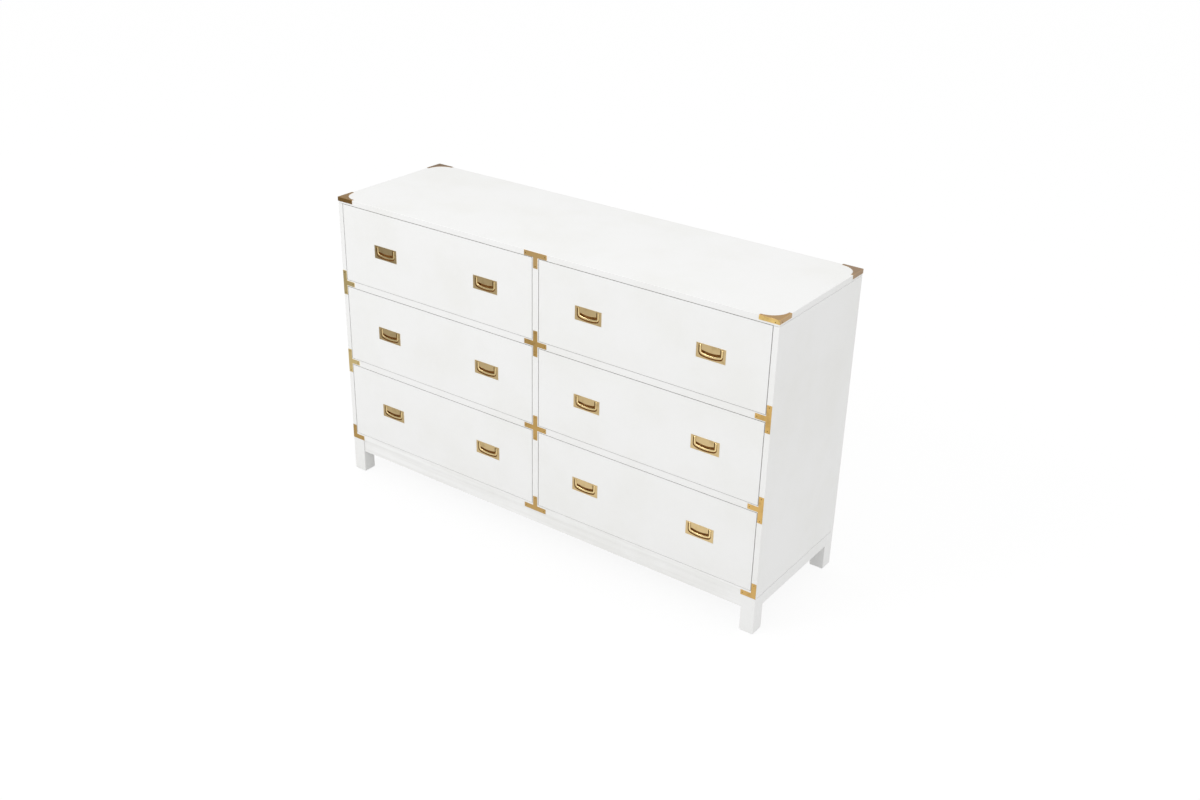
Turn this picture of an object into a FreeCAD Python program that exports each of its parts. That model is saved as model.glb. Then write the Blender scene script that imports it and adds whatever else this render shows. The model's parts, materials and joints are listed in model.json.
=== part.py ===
import FreeCAD, Part
import enum
import math
import operator
import os
import Sketcher

# Campaign chest: six inset drawers in a flat case on a low base with square legs,
# metal straps and corner brackets, and flush pulls with drop bails.
# Millimetres. X runs to the right as seen from the front, the front faces -Y, Z is up.
# The origin is on the floor, under the middle of the chest.

SIZES = {
    # Case
    "case_width": 1522.0,
    "case_depth": 455.0,
    "case_height": 937.0,
    "top_thickness": 17.0,
    "side_thickness": 16.5,
    "partition_thickness": 20.5,
    "bottom_thickness": 21.5,
    "back_thickness": 6.0,
    "rail_height": 20.5,
    "rail_depth": 70.0,
    "edge_round": 0.8,
    "joint_gap": 1.2,
    "joint_depth": 4.0,
    "foot_joint_gap": 1.5,
    # Base
    "leg_height": 117.0,
    "leg_width": 44.0,
    "leg_round": 1.5,
    "foot_chamfer": 4.0,
    "leg_top_chamfer": 0.6,
    "apron_height": 42.0,
    "apron_thickness": 16.0,
    "apron_setback": 4.0,
    "side_apron_height": 36.0,
    "side_apron_setback": 0.5,
    # Drawer
    "side_gap": 2.0,
    "head_gap": 2.0,
    "foot_gap": 1.0,
    "front_projection": 0.2,
    "front_thickness": 18.0,
    "front_round": 0.8,
    "wall_thickness": 12.0,
    "wall_lift": 15.0,
    "wall_drop": 33.0,
    "space_behind": 27.5,
    "drawer_bottom_thickness": 6.0,
    "groove_depth": 6.0,
    "groove_lift": 10.0,
    "groove_clearance": 0.2,
    # Slides
    "slide_space": 13.0,
    "slide_sheet": 1.5,
    "slide_clearance": 1.5,
    "slide_height": 42.0,
    "slide_setback": 10.0,
    # Straps and corner brackets
    "strap_thickness": 1.0,
    "strap_width": 15.0,
    "strap_arm": 32.0,
    "strap_round": 0.4,
    "bracket_thickness": 1.0,
    "bracket_leg": 60.0,
    "bracket_tip": 8.0,
    "bracket_skirt": 11.5,
    "bracket_round": 1.0,
    "head_width": 3.2,
    "head_height": 0.4,
    "head_round": 0.3,
    "arm_pin_inset": 6.0,
    "bracket_pin_reach": 13.0,
    "bracket_pin_lift": 3.5,
    # Pulls
    "pull_spacing": 390.0,
    "pull_width": 89.0,
    "pull_height": 41.2,
    "plate_thickness": 0.8,
    "plate_round": 0.4,
    "cup_inset": 1.5,
    "cup_floor": 1.5,
    "cup_clearance": 0.3,
    "scoop_depth": 12.5,
    "scoop_round": 2.0,
    "finger_gap": 7.0,
    # Bails
    "bail_side_border": 8.8,
    "bail_foot_border": 6.4,
    "bail_thickness": 5.5,
    "bail_round": 2.4,
    "bail_arm_width": 6.0,
    "bail_bar_width": 6.5,
    "bail_bow_radius": 120.0,
    "bail_corner": 10.0,
    "bail_inner_corner": 4.0,
    "bail_clearance": 1.6,
    "bail_foot_clearance": 3.4,
    "bail_sweep_clearance": 0.5,
    "pivot_drop": 6.5,
    "pin_diameter": 2.4,
    "pin_clearance": 0.05,
    "pin_cover": 1.55,
    "pin_engagement": 2.5,
    "pin_end_clearance": 0.3,
}

ROWS = ("bottom", "middle", "top")
COLUMNS = {"left": -1, "right": 1}
WAYS = {"left": (-1, 0), "right": (1, 0), "down": (0, -1), "up": (0, 1)}
INWARD = {"left": "right", "right": "left"}
RAILS_PER_COLUMN = len(ROWS) - 1
OPERATIONS = {"+": operator.add, "-": operator.sub, "*": operator.mul, "/": operator.truediv}
FILLET_SHARE = 0.45
NEAR = 1e-4
QUARTER_TURN = 90
ALONG_X = FreeCAD.Rotation(FreeCAD.Vector(0, 1, 0), QUARTER_TURN)
TO_RIGHT = ALONG_X
TO_LEFT = FreeCAD.Rotation(FreeCAD.Vector(0, 1, 0), -QUARTER_TURN)
TO_FRONT = FreeCAD.Rotation(FreeCAD.Vector(1, 0, 0), QUARTER_TURN)
TO_BACK = FreeCAD.Rotation(FreeCAD.Vector(1, 0, 0), -QUARTER_TURN)

doc = FreeCAD.newDocument("campaign_chest")
sub_parts = []


class Mark(enum.IntEnum):
    """The points of a side that a sketch can hold on to."""

    START = 1
    END = 2
    CENTRE = 3


ORIGIN = (-1, Mark.START)


class Size:
    """A length, known by its value and by the cell formula that gives it."""

    def __init__(self, value, text):
        self.value = value
        self.text = text

    def __add__(self, other):
        return combine(self, "+", other)

    def __radd__(self, other):
        return combine(other, "+", self)

    def __sub__(self, other):
        return combine(self, "-", other)

    def __rsub__(self, other):
        return combine(other, "-", self)

    def __mul__(self, other):
        return combine(self, "*", other)

    def __rmul__(self, other):
        return combine(other, "*", self)

    def __truediv__(self, other):
        return combine(self, "/", other)

    def __neg__(self):
        return combine(-1, "*", self)


def as_size(number):
    return number if isinstance(number, Size) else Size(number, repr(number))


def combine(first, sign, second):
    first = as_size(first)
    second = as_size(second)
    value = OPERATIONS[sign](first.value, second.value)
    return Size(value, f"({first.text} {sign} {second.text})")


def root(size):
    return Size(math.sqrt(size.value), f"sqrt({size.text})")


def level_on_bow(centre, radius, x):
    """The height of a bowed side where it meets the upright at x."""
    return centre - root(radius * radius - x * x)


def limited(size, wall):
    """A rounding that stays within its share of the wall it is cut from."""
    limit = wall * FILLET_SHARE
    return Size(min(size.value, limit.value), f"min({size.text}; {limit.text})")


class Sheet:
    """A spreadsheet whose cells are named, each read as an attribute."""

    def __init__(self, name):
        self.name = name
        self.page = doc.addObject("Spreadsheet::Sheet", name)
        self.rows = 0

    def add(self, alias, content, value):
        self.rows += 1
        self.page.set(f"A{self.rows}", alias)
        self.page.set(f"B{self.rows}", content)
        self.page.setAlias(f"B{self.rows}", alias)
        setattr(self, alias, Size(value, f"{self.name}.{alias}"))

    def derive(self, alias, size):
        self.add(alias, f"={size.text}", size.value)


def bind(thing, links):
    """Tie each property of a thing to a size."""
    for path, size in links.items():
        thing.setExpression(path, as_size(size).text)


def place(thing, corner):
    bind(thing, dict(zip(("Placement.Base.x", "Placement.Base.y", "Placement.Base.z"), corner)))


def new_body(label):
    body = doc.addObject("PartDesign::Body", label)
    body.Label = label
    return body


def box(body, kind, low, high):
    """Add or cut a block between two corners of the body's own frame."""
    block = body.newObject(f"PartDesign::{kind}Box", f"{body.Name}_{kind}")
    spans = [top - bottom for bottom, top in zip(low, high)]
    bind(block, dict(zip(("Length", "Width", "Height"), spans)))
    place(block, low)
    block.recompute()


def rod_along_x(body, kind, start, radius, length):
    """Add or cut a round rod that runs along X from its start point."""
    rod = body.newObject(f"PartDesign::{kind}Cylinder", f"{body.Name}_{kind}_rod")
    rod.Placement = FreeCAD.Placement(FreeCAD.Vector(), ALONG_X)
    bind(rod, {"Radius": radius, "Height": length})
    place(rod, start)
    rod.recompute()


def dress(body, kind, size_name, size, chosen):
    """Round or bevel the edges of the body's last feature that the test picks."""
    base = body.Tip
    names = [f"Edge{i + 1}" for i, edge in enumerate(base.Shape.Edges) if chosen(edge)]
    feature = body.newObject(f"PartDesign::{kind}", f"{body.Name}_{kind}")
    feature.Base = (base, names)
    bind(feature, {size_name: size})
    feature.recompute()


def fillet(body, radius, chosen):
    dress(body, "Fillet", "Radius", radius, chosen)


def chamfer(body, size, chosen):
    dress(body, "Chamfer", "Size", size, chosen)


def in_plane(axis, size):
    """An edge test: the whole edge lies at this place along an axis."""
    index = "XYZ".index(axis)

    def test(edge):
        bounds = edge.BoundBox
        low = (bounds.XMin, bounds.YMin, bounds.ZMin)[index]
        high = (bounds.XMax, bounds.YMax, bounds.ZMax)[index]
        level = as_size(size).value
        return math.isclose(low, level, abs_tol=NEAR) and math.isclose(high, level, abs_tol=NEAR)

    return test


def any_of(*tests):
    return lambda edge: any(test(edge) for test in tests)


def all_of(*tests):
    return lambda edge: all(test(edge) for test in tests)


def upright(edge):
    return edge.BoundBox.ZLength > edge.BoundBox.DiagonalLength / 2


def finish(thing, label):
    """Name a piece and list it as a sub-part of its own."""
    thing.Label = label
    sub_parts.append(thing)


def group(label, members):
    """Like pieces in one sub-part, each still a solid of its own."""
    compound = doc.addObject("Part::Compound", label)
    compound.Links = members
    finish(compound, label)


def board(label, low, high):
    """A flat board between two corners of the chest."""
    body = new_body(label)
    spans = [top - bottom for bottom, top in zip(low, high)]
    box(body, "Additive", (0, 0, 0), spans)
    place(body, low)
    return body


def c_section(label, low, high, sheet, web_at_low):
    """A folded steel strip along Y, shaped like a C that opens along X."""
    body = new_body(label)
    width, length, height = [top - bottom for bottom, top in zip(low, high)]
    box(body, "Additive", (0, 0, 0), (width, length, height))
    inside_start = sheet if web_at_low else as_size(0)
    inside_end = width if web_at_low else width - sheet
    box(body, "Subtractive", (inside_start, 0, sheet), (inside_end, length, height - sheet))
    place(body, low)
    return body


class Loose:
    """A sketch coordinate that follows from the arc beside it, with a value to start from."""

    def __init__(self, size):
        self.start = as_size(size).value


def starting_value(coordinate):
    return coordinate.start if isinstance(coordinate, Loose) else as_size(coordinate).value


def plane_of(body, role):
    return next(feature for feature in body.Origin.OriginFeatures if feature.Role == role)


def arc_middle(start, end, centre, radius):
    """The point of an arc halfway between its ends."""
    towards = (start + end) * 0.5 - centre
    return centre + towards.normalize() * radius


def add_side(sketch, start, end, arc):
    """Draw one side of an outline. Returns its two ends in order: an arc counts anticlockwise."""
    if arc is None:
        sketch.addGeometry(Part.LineSegment(start, end), False)
        return (Mark.START, Mark.END)
    x, y, radius = arc
    centre = FreeCAD.Vector(starting_value(x), starting_value(y), 0)
    middle = arc_middle(start, end, centre, radius.value)
    sketch.addGeometry(Part.Arc(start, middle, end), False)
    anticlockwise = (middle - start).cross(end - middle).z > 0
    ends = (Mark.START, Mark.END)
    return ends if anticlockwise else ends[::-1]


def fix(sketch, kind, side, mark, coordinate):
    """Hold a point of a sketch at a distance from the origin, unless it is loose."""
    if isinstance(coordinate, Loose):
        return
    size = as_size(coordinate)
    number = sketch.addConstraint(Sketcher.Constraint(kind, *ORIGIN, side, mark, size.value))
    sketch.setExpression(f"Constraints[{number}]", size.text)


def outline(body, role, points, arcs):
    """A closed sketch on one of the body's own planes.

    Each point is a pair of coordinates. A side listed in arcs is round, with its centre's two
    coordinates and its radius, and its ends are loose where the arc settles them.
    """
    sketch = body.newObject("Sketcher::SketchObject", f"{body.Name}_outline")
    sketch.AttachmentSupport = [(plane_of(body, role), "")]
    sketch.MapMode = "FlatFace"
    spots = [FreeCAD.Vector(starting_value(x), starting_value(y), 0) for x, y in points]
    ends = []
    for side, start in enumerate(spots):
        end = spots[(side + 1) % len(spots)]
        ends.append(add_side(sketch, start, end, arcs.get(side)))
    for side, (first, last) in enumerate(ends):
        following = (side + 1) % len(ends)
        sketch.addConstraint(
            Sketcher.Constraint("Coincident", side, last, following, ends[following][0])
        )
        fix(sketch, "DistanceX", side, first, points[side][0])
        fix(sketch, "DistanceY", side, first, points[side][1])
    for side, (x, y, radius) in arcs.items():
        fix(sketch, "DistanceX", side, Mark.CENTRE, x)
        fix(sketch, "DistanceY", side, Mark.CENTRE, y)
        number = sketch.addConstraint(Sketcher.Constraint("Radius", side, radius.value))
        sketch.setExpression(f"Constraints[{number}]", radius.text)
    return sketch


# Sizes and what follows from them

sizes = Sheet("Sizes")
for name, number in SIZES.items():
    sizes.add(name, str(number), number)

layout = Sheet("Layout")
layout.derive("half_width", sizes.case_width / 2)
layout.derive("front_plane", -sizes.case_depth / 2)
layout.derive("back_plane", sizes.case_depth / 2)
layout.derive("under_top", sizes.case_height - sizes.top_thickness)
layout.derive("floor_level", sizes.leg_height + sizes.bottom_thickness)
layout.derive(
    "opening_width",
    (sizes.case_width - 2 * sizes.side_thickness - sizes.partition_thickness) / 2,
)
layout.derive(
    "opening_height",
    (layout.under_top - layout.floor_level - RAILS_PER_COLUMN * sizes.rail_height) / len(ROWS),
)
layout.derive("column_offset", (layout.opening_width + sizes.partition_thickness) / 2)
layout.derive("row_pitch", layout.opening_height + sizes.rail_height)
layout.derive("back_inside", layout.back_plane - sizes.back_thickness)
layout.derive("front_width", layout.opening_width - 2 * sizes.side_gap)
layout.derive("front_height", layout.opening_height - sizes.head_gap - sizes.foot_gap)
layout.derive("drawer_face", layout.front_plane - sizes.front_projection)
layout.derive(
    "drawer_length", layout.back_inside - layout.drawer_face - sizes.space_behind
)
layout.derive("box_half_width", layout.opening_width / 2 - sizes.slide_space)
layout.derive("wall_inside", layout.box_half_width - sizes.wall_thickness)
layout.derive("wall_top", layout.front_height - sizes.wall_drop)
layout.derive("bottom_level", sizes.wall_lift + sizes.groove_lift)
layout.derive("slide_middle", (sizes.wall_lift + layout.wall_top) / 2)
layout.derive("slide_start", sizes.front_thickness + sizes.slide_setback)
layout.derive("slide_end", layout.drawer_length - sizes.slide_setback)
layout.derive("bail_half", sizes.pull_width / 2 - sizes.bail_side_border)
layout.derive("bail_inner", layout.bail_half - sizes.bail_arm_width)
layout.derive("bail_reach", sizes.pull_height - sizes.pivot_drop - sizes.bail_foot_border)
layout.derive("bail_end", sizes.bail_arm_width / 2)
layout.derive("bail_edge", limited(sizes.bail_round, sizes.bail_thickness))
layout.derive("pin_radius", sizes.pin_diameter / 2)
layout.derive("pivot_depth", layout.pin_radius + sizes.pin_cover)
layout.derive("pivot_level", sizes.pull_height / 2 - sizes.pivot_drop)
corner_across = sizes.bail_thickness / 2 - layout.bail_edge
corner_along = layout.bail_end - layout.bail_edge
layout.derive(
    "bail_sweep",
    root(corner_across * corner_across + corner_along * corner_along) + layout.bail_edge,
)
layout.derive("slot_half", layout.bail_half + sizes.bail_clearance)
layout.derive("slot_inner", layout.bail_inner - sizes.bail_clearance)
layout.derive("slot_top", layout.pivot_level + layout.bail_sweep + sizes.bail_sweep_clearance)
layout.derive(
    "slot_bottom", layout.pivot_level - layout.bail_reach - sizes.bail_foot_clearance
)
layout.derive("slot_depth", layout.pivot_depth + layout.bail_sweep + sizes.bail_sweep_clearance)
layout.derive("slot_bow", sizes.bail_bow_radius + sizes.bail_foot_clearance)
layout.derive("cup_depth", sizes.scoop_depth + sizes.cup_floor)
layout.derive("bar_level", layout.pivot_level - layout.bail_reach + sizes.bail_bar_width)
layout.derive("slot_bow_centre", layout.slot_bottom + layout.slot_bow)
layout.derive("foot_level", level_on_bow(layout.slot_bow_centre, layout.slot_bow, layout.slot_inner))
layout.derive("bail_inner_bow", sizes.bail_bow_radius - sizes.bail_bar_width)
layout.derive("scoop_bow", layout.bail_inner_bow - sizes.finger_gap)
doc.recompute()


def column_middle(column):
    return COLUMNS[column] * layout.column_offset


def row_floor(row):
    return layout.floor_level + ROWS.index(row) * layout.row_pitch


def side_panel(label, sign):
    """An upright side, stepped back under the top and, on its outer face, above the base."""
    body = new_body(label)
    thick = sizes.side_thickness
    height = layout.under_top - sizes.leg_height
    step_level = height - sizes.joint_gap
    step = sizes.joint_depth
    if sign < 0:
        x, outer_face, step_low = -layout.half_width, as_size(0), as_size(0)
    else:
        x, outer_face, step_low = layout.half_width - thick, thick, thick - step
    box(body, "Additive", (0, 0, 0), (thick, sizes.case_depth, height))
    box(body, "Subtractive", (step_low, 0, step_level), (step_low + step, sizes.case_depth, height))
    box(body, "Subtractive", (0, 0, step_level), (thick, step, height))
    box(
        body,
        "Subtractive",
        (step_low, 0, 0),
        (step_low + step, sizes.case_depth, sizes.foot_joint_gap),
    )
    fillet(body, limited(sizes.edge_round, thick), in_plane("X", outer_face))
    place(body, (x, layout.front_plane, sizes.leg_height))
    finish(body, label)


def build_case():
    """Boards of the case, with the rails between the rows of drawers."""
    half = layout.half_width
    front = layout.front_plane
    back = layout.back_plane
    top = board(
        "top_panel",
        (-half, front, layout.under_top),
        (half, back, sizes.case_height),
    )
    upper_rim = in_plane("Z", sizes.top_thickness)
    fillet(top, limited(sizes.edge_round, sizes.top_thickness), any_of(upper_rim, upright))
    finish(top, "top_panel")
    inside = half - sizes.side_thickness
    for column, sign in COLUMNS.items():
        side_panel(f"{column}_side_panel", sign)
    thin_half = sizes.partition_thickness / 2
    partition = board(
        "centre_partition",
        (-thin_half, front, layout.floor_level),
        (thin_half, layout.back_inside, layout.under_top),
    )
    finish(partition, "centre_partition")
    bottom = board(
        "bottom_panel",
        (-inside, front, sizes.leg_height),
        (inside, layout.back_inside, layout.floor_level),
    )
    finish(bottom, "bottom_panel")
    back_board = board(
        "back_panel",
        (-inside, layout.back_inside, sizes.leg_height),
        (inside, back, layout.under_top),
    )
    finish(back_board, "back_panel")
    rails = []
    for column in COLUMNS:
        middle = column_middle(column)
        for row in ROWS[:RAILS_PER_COLUMN]:
            low = row_floor(row) + layout.opening_height
            rails.append(
                board(
                    f"{row}_{column}_rail",
                    (middle - layout.opening_width / 2, front, low),
                    (
                        middle + layout.opening_width / 2,
                        front + sizes.rail_depth,
                        low + sizes.rail_height,
                    ),
                )
            )
    group("drawer_rails", rails)


def build_base():
    """Four square legs under the corners, with aprons between them."""
    half = layout.half_width
    legs = []
    for side in (-1, 1):
        for depth in (-1, 1):
            x = -half if side < 0 else half - sizes.leg_width
            y = layout.front_plane if depth < 0 else layout.back_plane - sizes.leg_width
            leg = new_body(f"leg_{len(legs) + 1}")
            box(leg, "Additive", (0, 0, 0), (sizes.leg_width, sizes.leg_width, sizes.leg_height))
            chamfer(leg, limited(sizes.foot_chamfer, sizes.leg_width), in_plane("Z", 0))
            fillet(leg, limited(sizes.leg_round, sizes.foot_chamfer * 2), upright)
            top_chamfer = limited(sizes.leg_top_chamfer, sizes.leg_round * 2)
            chamfer(leg, top_chamfer, in_plane("Z", sizes.leg_height))
            place(leg, (x, y, 0))
            legs.append(leg)
    group("legs", legs)
    low = sizes.leg_height - sizes.apron_height
    between_x = half - sizes.leg_width
    front = layout.front_plane + sizes.apron_setback
    back = layout.back_plane - sizes.apron_setback
    front_apron = board(
        "front_apron",
        (-between_x, front, low),
        (between_x, front + sizes.apron_thickness, sizes.leg_height),
    )
    finish(front_apron, "front_apron")
    back_apron = board(
        "back_apron",
        (-between_x, back - sizes.apron_thickness, low),
        (between_x, back, sizes.leg_height),
    )
    finish(back_apron, "back_apron")
    side_low = sizes.leg_height - sizes.side_apron_height
    outer = half - sizes.side_apron_setback
    inner = outer - sizes.apron_thickness
    front_end = layout.front_plane + sizes.leg_width
    back_end = layout.back_plane - sizes.leg_width
    for name, x_low, x_high in (("left", -outer, -inner), ("right", inner, outer)):
        apron = board(
            f"{name}_apron", (x_low, front_end, side_low), (x_high, back_end, sizes.leg_height)
        )
        finish(apron, f"{name}_apron")


def strap(label, x, z, ways):
    """A thin strap on the front of the case, with an arm each of these ways from its crossing."""
    body = new_body(label)
    half = sizes.strap_width / 2
    thick = sizes.strap_thickness
    reach = {way: half + sizes.strap_arm if way in ways else half for way in WAYS}
    box(body, "Additive", (x - reach["left"], 0, z - half), (x + reach["right"], thick, z + half))
    box(body, "Additive", (x - half, 0, z - reach["down"]), (x + half, thick, z + reach["up"]))
    fillet(body, limited(sizes.strap_round, thick), in_plane("Y", 0))
    place(body, (0, layout.front_plane - thick, 0))
    return body


def pin_head(label, spot, turn):
    """The round head of a pin on a face, turned the way the face looks."""
    body = new_body(label)
    head = body.newObject("PartDesign::AdditiveCylinder", f"{label}_round")
    bind(head, {"Radius": sizes.head_width / 2, "Height": sizes.head_height})
    head.recompute()
    rim = in_plane("Z", sizes.head_height)
    fillet(body, limited(sizes.head_round, sizes.head_height * 2), rim)
    body.Placement = FreeCAD.Placement(FreeCAD.Vector(), turn)
    place(body, spot)
    return body


def arm_pins(label, x, z, ways):
    """A pin near the end of each arm of a strap."""
    reach = sizes.strap_width / 2 + sizes.strap_arm - sizes.arm_pin_inset
    face = layout.front_plane - sizes.strap_thickness
    pins = []
    for way in ways:
        across, up = WAYS[way]
        spot = (x + across * reach, face, z + up * reach)
        pins.append(pin_head(f"{label}_{way}_pin", spot, TO_FRONT))
    return pins


def bracket_pins():
    """A pin on each of the two skirts of a corner bracket, near the corner."""
    level = sizes.case_height - sizes.bracket_skirt + sizes.bracket_pin_lift
    out_x = layout.half_width + sizes.bracket_thickness
    out_y = layout.back_plane + sizes.bracket_thickness
    near_x = out_x - sizes.bracket_pin_reach
    near_y = out_y - sizes.bracket_pin_reach
    pins = []
    for x_sign, x_turn in ((-1, TO_LEFT), (1, TO_RIGHT)):
        for y_sign, y_turn in ((-1, TO_FRONT), (1, TO_BACK)):
            for x, y, turn in ((near_x, out_y, y_turn), (out_x, near_y, x_turn)):
                label = f"bracket_pin_{len(pins) + 1}"
                pins.append(pin_head(label, (x_sign * x, y_sign * y, level), turn))
    return pins


def build_straps():
    """Tees, crosses and corner straps over the joints of the case's front, and all the pins."""
    none = as_size(0)
    stile = layout.half_width - sizes.edge_round - sizes.strap_width / 2
    top_level = sizes.case_height - sizes.top_thickness / 2
    foot_level = sizes.leg_height + sizes.edge_round + sizes.strap_width / 2
    tees = {
        "top_tee": (none, top_level, ("left", "right", "down")),
        "bottom_tee": (none, foot_level, ("left", "right", "up")),
    }
    crosses = {}
    corners = {}
    for column, sign in COLUMNS.items():
        corners[f"{column}_corner"] = (sign * stile, foot_level, ("up", INWARD[column]))
    for row in ROWS[:RAILS_PER_COLUMN]:
        level = row_floor(row) + layout.opening_height + sizes.rail_height / 2
        crosses[f"{row}_cross"] = (none, level, tuple(WAYS))
        for column, sign in COLUMNS.items():
            tees[f"{row}_{column}_tee"] = (sign * stile, level, ("down", "up", INWARD[column]))
    pins = bracket_pins()
    kinds = {"tee_straps": tees, "cross_straps": crosses, "corner_straps": corners}
    for kind, straps in kinds.items():
        group(kind, [strap(label, *where) for label, where in straps.items()])
        for label, where in straps.items():
            pins += arm_pins(label, *where)
    group("strap_pins", pins)


def build_corner_brackets():
    """Caps over the four corners of the top, each with a hollow round inner edge."""
    sheet = sizes.bracket_thickness
    leg = sizes.bracket_leg
    height = sizes.bracket_skirt + sheet
    out_x = layout.half_width + sheet
    out_y = layout.back_plane + sheet
    corners = ((-out_x, -out_y), (out_x, -out_y), (out_x, out_y), (-out_x, out_y))
    brackets = []
    for turn, (x, y) in enumerate(corners):
        bracket = new_body(f"bracket_{turn + 1}")
        box(bracket, "Additive", (0, 0, 0), (leg, leg, height))
        box(bracket, "Subtractive", (sheet, sheet, 0), (leg, leg, sizes.bracket_skirt))
        hollow = bracket.newObject("PartDesign::SubtractiveCylinder", f"{bracket.Name}_hollow")
        bind(hollow, {"Radius": leg - sizes.bracket_tip, "Height": height})
        place(hollow, (leg, leg, 0))
        hollow.recompute()
        rim = in_plane("Z", height)
        outer_corner = all_of(in_plane("X", 0), in_plane("Y", 0))
        outer_rim = all_of(rim, any_of(in_plane("X", 0), in_plane("Y", 0)))
        rounding = limited(sizes.bracket_round, sheet * 2)
        fillet(bracket, rounding, any_of(outer_corner, outer_rim))
        turned = FreeCAD.Rotation(FreeCAD.Vector(0, 0, 1), turn * QUARTER_TURN)
        bracket.Placement = FreeCAD.Placement(FreeCAD.Vector(), turned)
        place(bracket, (x, y, sizes.case_height - sizes.bracket_skirt))
        brackets.append(bracket)
    group("top_corner_brackets", brackets)


def build_channels():
    """The case's half of each slide: a steel channel on each side of an opening."""
    channels = []
    low_y = layout.drawer_face + layout.slide_start
    high_y = layout.drawer_face + layout.slide_end
    depth = sizes.slide_space - sizes.slide_clearance
    for row in ROWS:
        middle_z = row_floor(row) + sizes.foot_gap + layout.slide_middle
        low_z = middle_z - sizes.slide_height / 2
        high_z = middle_z + sizes.slide_height / 2
        for column in COLUMNS:
            left = column_middle(column) - layout.opening_width / 2
            right = column_middle(column) + layout.opening_width / 2
            for side, x_low, x_high in (
                ("left", left, left + depth),
                ("right", right - depth, right),
            ):
                channels.append(
                    c_section(
                        f"{row}_{column}_{side}_channel",
                        (x_low, low_y, low_z),
                        (x_high, high_y, high_z),
                        sizes.slide_sheet,
                        side == "left",
                    )
                )
    group("runner_channels", channels)


def drawer_front(name, origin):
    """The inset front, sunk for two pull cups and grooved for the drawer's bottom."""
    body = new_body(f"{name}_drawer_front")
    half = layout.front_width / 2
    thick = sizes.front_thickness
    box(body, "Additive", (-half, 0, 0), (half, thick, layout.front_height))
    fillet(body, limited(sizes.front_round, thick), in_plane("Y", 0))
    cup_half = sizes.pull_width / 2 - sizes.cup_inset + sizes.cup_clearance
    cup_tall = sizes.pull_height / 2 - sizes.cup_inset + sizes.cup_clearance
    cup_deep = layout.cup_depth - sizes.plate_thickness + sizes.cup_clearance
    level = layout.front_height / 2
    for sign in COLUMNS.values():
        middle = sign * sizes.pull_spacing / 2
        box(
            body,
            "Subtractive",
            (middle - cup_half, 0, level - cup_tall),
            (middle + cup_half, cup_deep, level + cup_tall),
        )
    groove_half = layout.wall_inside + sizes.groove_depth
    groove_top = layout.bottom_level + sizes.drawer_bottom_thickness + sizes.groove_clearance
    box(
        body,
        "Subtractive",
        (-groove_half, thick - sizes.groove_depth, layout.bottom_level),
        (groove_half, thick, groove_top),
    )
    place(body, origin)
    finish(body, body.Label)


def drawer_walls(name, origin):
    """Two grooved side walls and a back wall that stands on the bottom."""
    start = sizes.front_thickness
    end = layout.drawer_length
    groove_top = layout.bottom_level + sizes.drawer_bottom_thickness + sizes.groove_clearance
    walls = []
    for side, sign in COLUMNS.items():
        wall = new_body(f"{name}_{side}_wall")
        edges = (sign * layout.box_half_width, sign * layout.wall_inside)
        x_low, x_high = edges if sign < 0 else edges[::-1]
        box(wall, "Additive", (x_low, start, sizes.wall_lift), (x_high, end, layout.wall_top))
        groove_end = sign * (layout.wall_inside + sizes.groove_depth)
        cut_low, cut_high = (groove_end, x_high) if sign < 0 else (x_low, groove_end)
        box(
            wall,
            "Subtractive",
            (cut_low, start, layout.bottom_level),
            (cut_high, end, groove_top),
        )
        place(wall, origin)
        walls.append(wall)
    back = new_body(f"{name}_back_wall")
    on_bottom = layout.bottom_level + sizes.drawer_bottom_thickness
    box(
        back,
        "Additive",
        (-layout.wall_inside, end - sizes.wall_thickness, on_bottom),
        (layout.wall_inside, end, layout.wall_top),
    )
    place(back, origin)
    walls.append(back)
    group(f"{name}_drawer_walls", walls)


def drawer_bottom(name, origin):
    """A thin board that lies in the grooves of the front and the side walls."""
    body = new_body(f"{name}_drawer_bottom")
    half = layout.wall_inside + sizes.groove_depth - sizes.groove_clearance
    start = sizes.front_thickness - sizes.groove_depth + sizes.groove_clearance
    top = layout.bottom_level + sizes.drawer_bottom_thickness
    box(
        body,
        "Additive",
        (-half, start, layout.bottom_level),
        (half, layout.drawer_length, top),
    )
    place(body, origin)
    finish(body, body.Label)


def drawer_runners(name, origin):
    """The drawer's half of each slide, running inside the case's channel."""
    x0, y0, z0 = origin
    reach = sizes.slide_space - sizes.slide_sheet - sizes.slide_clearance
    half_tall = sizes.slide_height / 2 - sizes.slide_sheet - sizes.slide_clearance
    runners = []
    for side, sign in COLUMNS.items():
        wall_face = x0 + sign * layout.box_half_width
        far = wall_face + sign * reach
        x_low, x_high = (far, wall_face) if sign < 0 else (wall_face, far)
        runners.append(
            c_section(
                f"{name}_{side}_runner",
                (x_low, y0 + layout.slide_start, z0 + layout.slide_middle - half_tall),
                (x_high, y0 + layout.slide_end, z0 + layout.slide_middle + half_tall),
                sizes.slide_sheet,
                sign > 0,
            )
        )
    group(f"{name}_runners", runners)


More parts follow.
